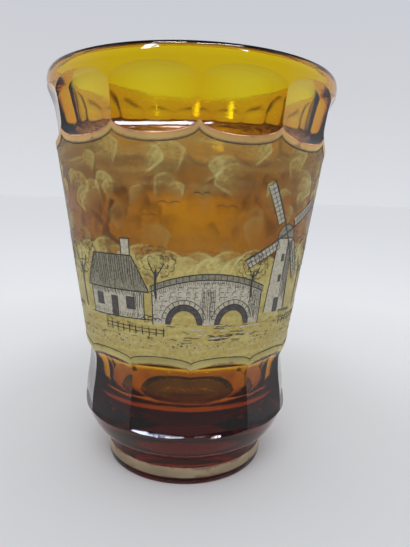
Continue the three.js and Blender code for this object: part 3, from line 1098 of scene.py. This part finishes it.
# %% Houses
def cottage(u, v, chimney_side):
    """A thatched cottage with a chimney on one side, a door and two windows."""
    half, eaves = 7.0, v + 6.5
    left, right, low, ridge = u - half - 1.2, u + half + 1.2, eaves - 0.8, eaves + 7.0
    slope = lambda x: low + 7.0 * np.clip((half + 1.2 - abs(x - u)) / 3.4, 0, 1)
    box(pale_fills, u - half, u + half, v, eaves)
    fill(grey_fills, left, right, level(low), slope, 0.4)
    hatch(left + 0.4, right - 0.4, level(eaves - 0.6), slope, 0.55, -0.4, 0.16)
    pen([(left, low), (u - half + 2.2, ridge - 0.8), (u + half - 2.2, ridge - 0.8), (right, low)], 0.3)
    pen([(left, low), (right, low)], 0.34)
    for side in (-half, half):
        pen([(u + side, v), (u + side, low)], 0.26)
    pen([(u - half - 1, v - 0.1), (u + half + 1.5, v + 0.1)], 0.26)
    stack = u + chimney_side * 3.6
    box(pale_fills, stack - 0.9, stack + 0.9, ridge - 0.6, ridge + 2.4)
    for side in (-0.95, 0.95):
        pen([(stack + side, ridge - 0.8), (stack + side, ridge + 2.5)], 0.26)
    pen([(stack - 1.2, ridge + 2.5), (stack + 1.2, ridge + 2.5)], 0.36)
    box(dark_fills, u - 0.9, u + 0.9, v, v + 4.3)
    for x in (u - 4.3, u + 4.0):
        box(dark_fills, x - 1.05, x + 1.05, v + 2.1, v + 4.5)
        pen([(x - 1.2, v + 2.0), (x + 1.2, v + 2.0)], 0.22)
    hatch(u + half - 2.6, u + half, level(v), level(eaves - 1), 0.5, 0, 0.14)
    hatch(u - half, u + half - 0.3, level(eaves - 2.1), level(low), 0.42, -0.3, 0.13)
    hatch(u - half, u + half, level(v), level(v + 1.2), 0.6, 0.3, 0.12)


def windmill(u, v):
    """A round tower with a cap, and four lattice sails."""
    height, hub = 19.0, v + 20.5
    tower = lambda x: v + height * np.clip((4.4 - abs(x - u)) / 1.5, 0, 1)
    cap = lambda x: hub - 1.2 + 3.4 * math.sqrt(max(0.0, 1 - ((x - u) / 3.2) ** 2))
    fill(pale_fills, u - 4.4, u + 4.4, level(v), tower, 0.25)
    fill(grey_fills, u - 3.2, u + 3.2, level(hub - 1.4), cap, 0.3)
    hatch(u + 0.8, u + 4.0, level(v), lambda x: tower(x) - 0.4, 0.42, -0.1, 0.16)
    for sign in (-1, 1):
        pen([(u + sign * 4.4, v), (u + sign * 2.9, v + height)], 0.28)
    pen(arc_points(u, hub - 1.2, 3.2, 3.4, 0, 180), 0.28)
    pen([(u - 3.4, hub - 1.3), (u + 3.4, hub - 1.3)], 0.3)
    box(dark_fills, u - 1.0, u + 1.0, v, v + 3.8)
    for share in (0.42, 0.7):
        box(dark_fills, u - 0.7, u + 0.5, v + height * share, v + height * share + 1.9)
    for turn in (28, 118, 208, 298):
        a = math.radians(turn)
        along, across = np.array((math.cos(a), math.sin(a))), np.array((-math.sin(a), math.cos(a)))
        at = lambda reach, side: (u, hub) + along * reach + across * side
        fill_shape(pale_fills, [at(3.4, 0.15), at(13.6, 0.15), at(13.6, 2.3), at(3.4, 2.3)])
        pen([at(0, 0), at(14, 0)], 0.5)
        pen([at(3.4, 2.3), at(13.6, 2.3)], 0.2)
        pen([at(3.4, 1.15), at(13.6, 1.15)], 0.14)
        for reach in np.arange(3.4, 13.7, 1.13):
            pen([at(reach, 0), at(reach, 2.3)], 0.18)


# %% The bridge and the brook
def bridge(u, v):
    """A stone bridge with two arches, its courses of stone, and the water under it."""
    half, radius, centres = 15.0, 4.9, (u - 6.6, u + 6.6)
    deck = lambda x: v + 12.0 - 3.4 * ((x - u) / half) ** 2

    def arch(x, shrink=0.0):
        rise = [1.12 * math.sqrt(max(0.0, (radius - shrink) ** 2 - (x - c) ** 2)) for c in centres]
        return v + max(rise)

    fill(pale_fills, u - half, u + half, arch, deck, 0.3)
    fill(grey_fills, u - half - 0.6, u + half + 0.6, deck, lambda x: deck(x) + 1.5, 0.6)
    for c in centres:
        inner = lambda x: arch(x, 1.5) if x > c - radius + 1.5 else v
        fill(dark_fills, c - radius + 0.1, c + radius - 0.1, inner, arch, 0.3)
        pen(arc_points(c, v, radius, radius * 1.12, 0, 180, 14), 0.3)
        pen(arc_points(c, v, radius + 1.2, (radius + 1.2) * 1.1, 12, 168, 14), 0.18)
        for turn in range(15, 180, 15):
            a = math.radians(turn)
            pen([(c + r * math.cos(a), v + r * 1.12 * math.sin(a)) for r in (radius, radius + 1.2)], 0.18)
    for lift in (0.0, 1.5):
        pen([(x, deck(x) + lift) for x in np.linspace(u - half - 0.6, u + half + 0.6, 16)], 0.3)
    for x in np.arange(u - half, u + half, 1.6):
        pen([(x, deck(x) + 0.1), (x, deck(x) + 1.4)], 0.16)
    for row in np.arange(1.2, 12, 1.25):
        for x in np.arange(u - half + 0.4, u + half - 1.2, 2.1):
            start = x + rng.uniform(-0.5, 0.5)
            if max(arch(start - 0.3), arch(start + 1.5)) + 1.5 < v + row < deck(start) - 0.6:
                pen([(start, v + row), (start + rng.uniform(0.7, 1.4), v + row)], 0.15)
                pen([(start, v + row), (start, v + row - 0.9)], 0.13)
    for side in (-half, half):
        pen([(u + side, v - 0.5), (u + side, deck(u + half) + 0.2)], 0.28)
    hatch(u - 1.9, u + 1.9, level(v + 0.3), lambda x: deck(x) - 2.5, 0.45, -0.2, 0.13)
    hatch(u + 11.2, u + half, level(v + 0.3), lambda x: deck(x) - 1.2, 0.5, -0.2, 0.13)
    hatch(u - half, u + half, lambda x: deck(x) - 1.6, lambda x: deck(x) - 0.2, 0.5, -0.3, 0.12)
    for k in range(26):
        x, y = u + rng.uniform(-13, 13), v - rng.uniform(0.2, 4.6)
        length = rng.uniform(1.5, 5)
        if k % 3:
            pen([(x, y), (x + length / 3, y + 0.18), (x + 2 * length / 3, y - 0.1), (x + length, y + 0.1)], 0.2)
        else:
            box(pale_fills, x, x + length, y, y + 0.35)


# %% Draw the landscape
SCENE = [  # motif, enlargement, place and sizes, in the order in which they are drawn
    (cottage, 1.7, (-29, 66.0, 1)), (oak, 1.15, (-47, 66.5, 24, 7.4)), (oak, 1, (-12.5, 73.5, 17, 5.4)),
    (fence, 1.1, (-34, 61.0, -12, -0.6)), (bridge, 1.3, (5.5, 65.0)), (windmill, 1.38, (33.5, 67.5)),
    (oak, 1, (20.5, 74, 15, 4.9)), (oak, 1.1, (49, 67.5, 24, 7)), (bush, 1.2, (41, 66.0, 7)),
    (bush, 1.2, (-14.5, 65.5, 5)), (fence, 1.1, (38, 62.0, 62, 0.6)), (bird, 1.2, (-8, 105, 3.2)),
    (bird, 1.2, (1.5, 108, 2.4)), (bird, 1.2, (9, 104.2, 2.8)), (bird, 1.2, (-14, 101, 2.0)),
    (cottage, 1.2, (74, 66.5, -1)), (oak, 1.2, (88, 67, 20, 6.2)), (bush, 1.2, (62, 65.5, 7)),
    (oak, 1.0, (101, 65, 14, 5.2)), (fence, 1.1, (90, 62.5, 112, 1)), (bridge, 1.0, (121, 64)),
    (oak, 1.0, (144, 64, 14, 5)), (cottage, 1.1, (-126, 63.5, 1)), (oak, 1.0, (-110, 65, 14, 5)),
    (bush, 1.2, (-104, 65, 8)), (windmill, 1.2, (-94, 67)), (fence, 1.1, (-90, 62.5, -70, 0.5)),
    (oak, 1.2, (-78, 68, 15, 5.2)), (oak, 1.2, (-64, 67, 20, 6.4)), (bush, 1.2, (-56, 65.5, 8)),
    (bird, 1.2, (84, 104, 3)), (bird, 1.2, (92, 107, 2.4)), (bird, 1.2, (-110, 105, 3)), (bird, 1.2, (140, 104, 2.6)),
]
for draw, size, values in SCENE:
    enlarged(draw, size, *values)
for _ in range(230):
    u, v = anywhere(58.5, 66)
    length = rng.uniform(0.8, 3.4)
    blade = [(u, v), (u + length / 2, v + rng.normal(0, 0.15)), (u + length, v + rng.normal(0, 0.2))]
    pen(blade, rng.uniform(0.1, 0.18))
for _ in range(520):
    u, v, size = rng.uniform(-math.pi, math.pi) * ROUND, rng.normal(57.2, 1.0), rng.uniform(0.25, 0.6)
    where = (pale_fills, pale_fills, grey_fills, grey_fills, dark_fills)[rng.integers(5)]
    box(where, u, u + size, v, v + size * 0.8)
print(len(lines), "pen lines,", len(pale_fills) + len(grey_fills) + len(dark_fills), "fillings")

# %% [markdown]
# From drawing to solids
#
# Ink stands on the glass as a film. Every line becomes a strip with four corners at each station, thinner at its
# ends like a pen stroke, and every filling a plate. The kinds of filling lie at their own heights, so that no two
# films share a surface.

# %% Turn lines and fillings into thin solids
INK_STEP = 0.8
PALE_LIFT, GREY_LIFT, DARK_LIFT, LINE_LIFT = (0.105, 0.125), (0.13, 0.15), (0.155, 0.175), (0.18, 0.21)


def closed_strip(edges, turn=1):
    """Four edges, each a path along the band and its lift, joined into a bar that is closed at both ends."""
    corners = [on_cone(path[:, 0] / ROUND, path[:, 1], lift) for path, lift in edges]
    stations = np.stack(corners, axis=1).reshape(-1, 3)
    last = len(stations) - 4
    caps = [(3, 2, 1, 0), (last, last + 1, last + 2, last + 3)]
    return stations, np.vstack([net_faces(len(stations) // 4, 4), caps])[:, ::turn]


def ribbon(points, width, low, high):
    """A pen line as a closed strip, drawn out thin at its ends."""
    steps = np.hypot(*np.diff(points, axis=0).T)
    run = np.concatenate([[0], np.cumsum(steps)])
    s = np.linspace(0, run[-1], max(2, int(math.ceil(run[-1] / INK_STEP)) + 1))
    path = np.stack([np.interp(s, run, points[:, k]) for k in (0, 1)], axis=1)
    along = np.gradient(path, axis=0)
    along /= np.maximum(np.hypot(*along.T), 1e-9)[:, None]
    taper = np.clip(np.minimum(s, run[-1] - s) / (1.5 * width), 0, 1) * 0.5 + 0.5
    side = np.stack([-along[:, 1], along[:, 0]], axis=1) * (width * taper / 2)[:, None]
    return closed_strip([(path + side, low), (path - side, low), (path - side, high), (path + side, high)])


def plate(u, bottom, top, low, high):
    bottom, top = np.stack([u, bottom], axis=1), np.stack([u, top], axis=1)
    return closed_strip([(bottom, low), (bottom, high), (top, high), (top, low)], -1)


def add_print(name, solids):
    starts = np.cumsum([0] + [len(stations) for stations, _ in solids])
    faces = np.vstack([quads + start for (_, quads), start in zip(solids, starts)])
    made = new_object(name, np.vstack([stations for stations, _ in solids]) * MM, faces, smooth=False)
    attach(made, "root")
    return made


pale_print = add_print("pale_fillings", [plate(*shape, *PALE_LIFT) for shape in pale_fills])
grey_print = add_print("grey_fillings", [plate(*shape, *GREY_LIFT) for shape in grey_fills])
dark_print = add_print("dark_fillings", [plate(*shape, *DARK_LIFT) for shape in dark_fills])
line_print = add_print("pen_lines", [ribbon(points, width, *LINE_LIFT) for points, width in lines])


# %% Inks
def print_ink(name, colour, contrast):
    made, tree, shader = material(name)
    uneven = place_group(tree, UNEVEN, Scale=110.0)
    stops = [(0.3, [c * (1 - contrast) for c in colour]), (0.7, [c * (1 + contrast) for c in colour])]
    join(tree, shader, {
        "Base Color": tone_ramp(tree, stops, uneven["Grain"]),
        "Roughness": spread(tree, uneven["Clouds"], 0.3, 0.6),
        "Normal": bump(tree, uneven["Grain"], 0.02, 0.4),
    })
    return made


pale_print.data.materials.append(print_ink("pale_print", (0.42, 0.385, 0.29), 0.28))
grey_print.data.materials.append(print_ink("grey_print", (0.21, 0.19, 0.13), 0.4))
dark_print.data.materials.append(print_ink("dark_print", (0.07, 0.06, 0.055), 0.45))
line_ink = print_ink("line_ink", (0.045, 0.04, 0.038), 0.4)
for printed in (line_print, upper_contour, lower_contour):
    printed.data.materials.append(line_ink)

# %% [markdown]
# Table and sky
#
# The vase stands on a pale table in a bright room. An even dome of light could do it alone, but cut glass needs
# something to mirror. So the light that falls on things is an even dome, and what the glass mirrors and shows is a
# separate, plain sky that is pale near the horizon and dark above.

# %% Floor and world
FLOOR_DROP = 0.05 * MM
FLOOR_RINGS = (0.02, 0.05, 0.1, 0.2, 0.4, 0.8, 1.6, 3.2, 6.4, 12, 40)
# table tones, darker near the vase: a painted shadow round the foot
FLOOR_SHADOW_TONES = (  # by metres from the vase
    (0.0, (0.75, 0.75, 0.75)),
    (0.1, (0.74, 0.74, 0.74)),
    (0.18, (0.83, 0.83, 0.835)),
    (0.34, (0.92, 0.92, 0.925)),
    (1.0, (0.915, 0.92, 0.935)),
)
LIGHT_STRENGTH = 0.8
SEEN_TONES = (  # by the height that a ray points at
    (0.0, (0.716, 0.735, 0.77)),
    (0.21, (0.638, 0.645, 0.68)),
    (0.38, (0.59, 0.61, 0.66)),
    (0.58, (0.55, 0.56, 0.6)),
    (0.68, (0.2, 0.19, 0.2)),
    (1.0, (0.08, 0.075, 0.08)),
)


def add_floor(steps=96):
    angles = np.linspace(0, 2 * math.pi, steps + 1)[:-1]
    points = [(r * math.sin(a), -r * math.cos(a), -FLOOR_DROP) for r in FLOOR_RINGS for a in angles]
    faces = net_faces(len(FLOOR_RINGS), steps).tolist() + fan(0, steps, len(points))
    floor = new_object("floor", points + [(0, 0, -FLOOR_DROP)], faces, smooth=False)
    made, tree, shader = material("pale_floor")
    place = add_node(tree, "TexCoord", output="Object")
    metres = add_node(tree, "VectorMath", {0: place}, "Value", operation="LENGTH")
    join(tree, shader, {
        "Roughness": 0.9,
        "Specular IOR Level": 0.1,
        # base colour darker near the vase: painted shadow
        "Base Color": tone_ramp(tree, FLOOR_SHADOW_TONES, spread(tree, metres, 0.0, 1.0)),
    })
    floor.data.materials.append(made)


def add_world():
    world = bpy.data.worlds.new("studio")
    world.use_nodes = True
    tree = world.node_tree
    light = tree.nodes["Background"]
    join(tree, light, {"Color": (0.95, 0.97, 1.0, 1), "Strength": LIGHT_STRENGTH})
    up = add_node(tree, "SeparateXYZ", {0: add_node(tree, "TexCoord", output="Generated")}, "Z")
    seen = add_node(tree, "Background", {"Color": tone_ramp(tree, SEEN_TONES, up)})
    path = tree.nodes.new("ShaderNodeLightPath").outputs
    mirrored = maths(tree, "MAXIMUM", path["Is Camera Ray"], path["Is Glossy Ray"])
    share = maths(tree, "MAXIMUM", mirrored, path["Is Transmission Ray"])
    mixed = add_node(tree, "MixShader", {"Fac": share, 1: light.outputs[0], 2: seen})
    join(tree, tree.nodes["World Output"], {"Surface": mixed})
    bpy.context.scene.world = world


add_floor()
add_world()

# %% [markdown]
# Lamps
#
# One soft key lights the table and the enamel. Window panes and small lamps make the glints on the ledge and the
# lip: only polished surfaces see them, so they can stand where a glint is wanted without lighting the table.

# %% Lamps
LAMP_DISTANCE = 1.2
LAMP_CENTRE = Vector((0, 0, 24 * MM))
LAMP_AIM = Vector((0, 0, 80 * MM))
GLINTS = (  # name, azimuth, elevation, size, power, colour
    ("window", -35.2, 40.5, (0.2, 0.2), 0.5, (0.55, 0.65, 1.0)),
    ("left_pane", -37.4, 41.5, (0.12, 0.34), 3.2, (0.72, 0.8, 1.0)),
    ("right_pane", -30.2, 40.5, (0.016, 0.14), 0.14, (0.95, 0.97, 1.0)),
    ("left_lip_lamp", -30, 62, (0.36, 0.08), 2.6, (1.0, 0.99, 0.97)),
    ("right_lip_lamp", 25, 62, (0.5, 0.08), 3.0, (1.0, 0.98, 0.95)),
    ("far_pane", 34.2, 39.8, (0.024, 0.2), 0.05, (1.0, 1.0, 1.0)),
    ("side_pane", 38.2, 39.8, (0.035, 0.14), 1.1, (1.0, 1.0, 1.0)),
)


def add_lamp(name, azimuth, elevation, size, power, colour, soft=False):
    """A rectangular lamp. A soft one lights things and isn't mirrored; the others are only mirrored."""
    data = bpy.data.lights.new(name, "AREA")
    data.shape = "RECTANGLE"
    data.size, data.size_y = size
    data.energy = power
    data.color = colour
    lamp = bpy.data.objects.new(name, data)
    a, e = math.radians(azimuth), math.radians(elevation)
    along = Vector((math.cos(e) * math.sin(a), -math.cos(e) * math.cos(a), math.sin(e)))
    lamp.location = along * LAMP_DISTANCE + LAMP_CENTRE
    lamp.rotation_euler = (LAMP_AIM - lamp.location).to_track_quat("-Z", "Y").to_euler()
    lamp.visible_transmission = False
    lamp.visible_diffuse = soft
    lamp.visible_glossy = not soft
    bpy.context.scene.collection.objects.link(lamp)


add_lamp("soft_key", -4, 55, (0.7, 0.5), 3.6, (0.9, 0.94, 1.0), soft=True)
for glint in GLINTS:
    add_lamp(*glint)
print(1 + len(GLINTS), "lamps")

# %% [markdown]
# A card for reflections
#
# In the room the photographer and the dark room behind them are mirrored in the front of the vase, and the shaded
# table in its foot. A grey card behind the camera, which only reflections see and which glows by itself, takes
# their place: its tones are painted reflections of them. Its tone changes with distance along the table, and at
# the sides it fades to the tone of the room.

# %% Reflection card
CARD_NEAR = 0.034
CARD_AWAY = 1.7
CARD_LIFT = 0.5 * MM
CARD_HEIGHT = 2.6
CARD_HALF_ANGLE = math.radians(100)
CARD_FADE_START = 0.6
CARD_SIDE_TONE = (0.6, 0.61, 0.64, 1)
# painted reflections: the shaded table near the foot, the photographer's shadow on it and the dark room behind
CARD_REFLECTION_TONES = (  # from its near edge along the table and up
    (0.0, (0.2, 0.19, 0.19)),
    (0.03, (0.5, 0.47, 0.45)),
    (0.06, (0.5, 0.47, 0.45)),
    (0.09, (0.15, 0.15, 0.16)),
    (0.12, (0.42, 0.41, 0.42)),
    (0.2, (0.42, 0.41, 0.42)),
    (0.27, (0.3, 0.3, 0.31)),
    (0.35, (0.17, 0.175, 0.19)),
    (1.0, (0.17, 0.175, 0.19)),
)


def painted_reflection_glow():
    made, tree, _ = material("painted_reflection_glow")
    tone = tone_ramp(tree, CARD_REFLECTION_TONES, read_value(tree, "away"))
    fade = add_node(tree, "MapRange", {"Value": read_value(tree, "side"), "From Min": CARD_FADE_START})
    # the card glows by itself, no lamp, so its tones show as painted reflections
    glow = add_node(tree, "Emission", {"Color": mix_colours(tree, fade, tone, CARD_SIDE_TONE)})
    join(tree, tree.nodes["Material Output"], {"Surface": glow})
    return made


def add_card(steps=24):
    side = np.linspace(-1, 1, steps + 1)
    profile = [(r, CARD_LIFT) for r in np.geomspace(CARD_NEAR, CARD_AWAY, 12)]
    profile += [(CARD_AWAY, z) for z in np.linspace(0.05, CARD_HEIGHT, 12)]
    across = side * CARD_HALF_ANGLE
    points = [(r * math.sin(a), -r * math.cos(a), z) for r, z in profile for a in across]
    card = new_object("card", points, net_faces(len(profile), len(across), wrap=False))
    for seen_by in ("camera", "diffuse", "transmission", "volume_scatter", "shadow"):
        setattr(card, "visible_" + seen_by, False)
    put_values(card.data, "side", np.tile(np.abs(side), len(profile)))
    put_values(card.data, "away", np.repeat(np.linspace(0, 1, len(profile)), len(across)))
    card.data.materials.append(painted_reflection_glow())


add_card()

# %% [markdown]
# Finish
#
# The picture keeps its plain view settings.

# %% Finish
bpy.context.scene.view_settings.view_transform = "Standard"
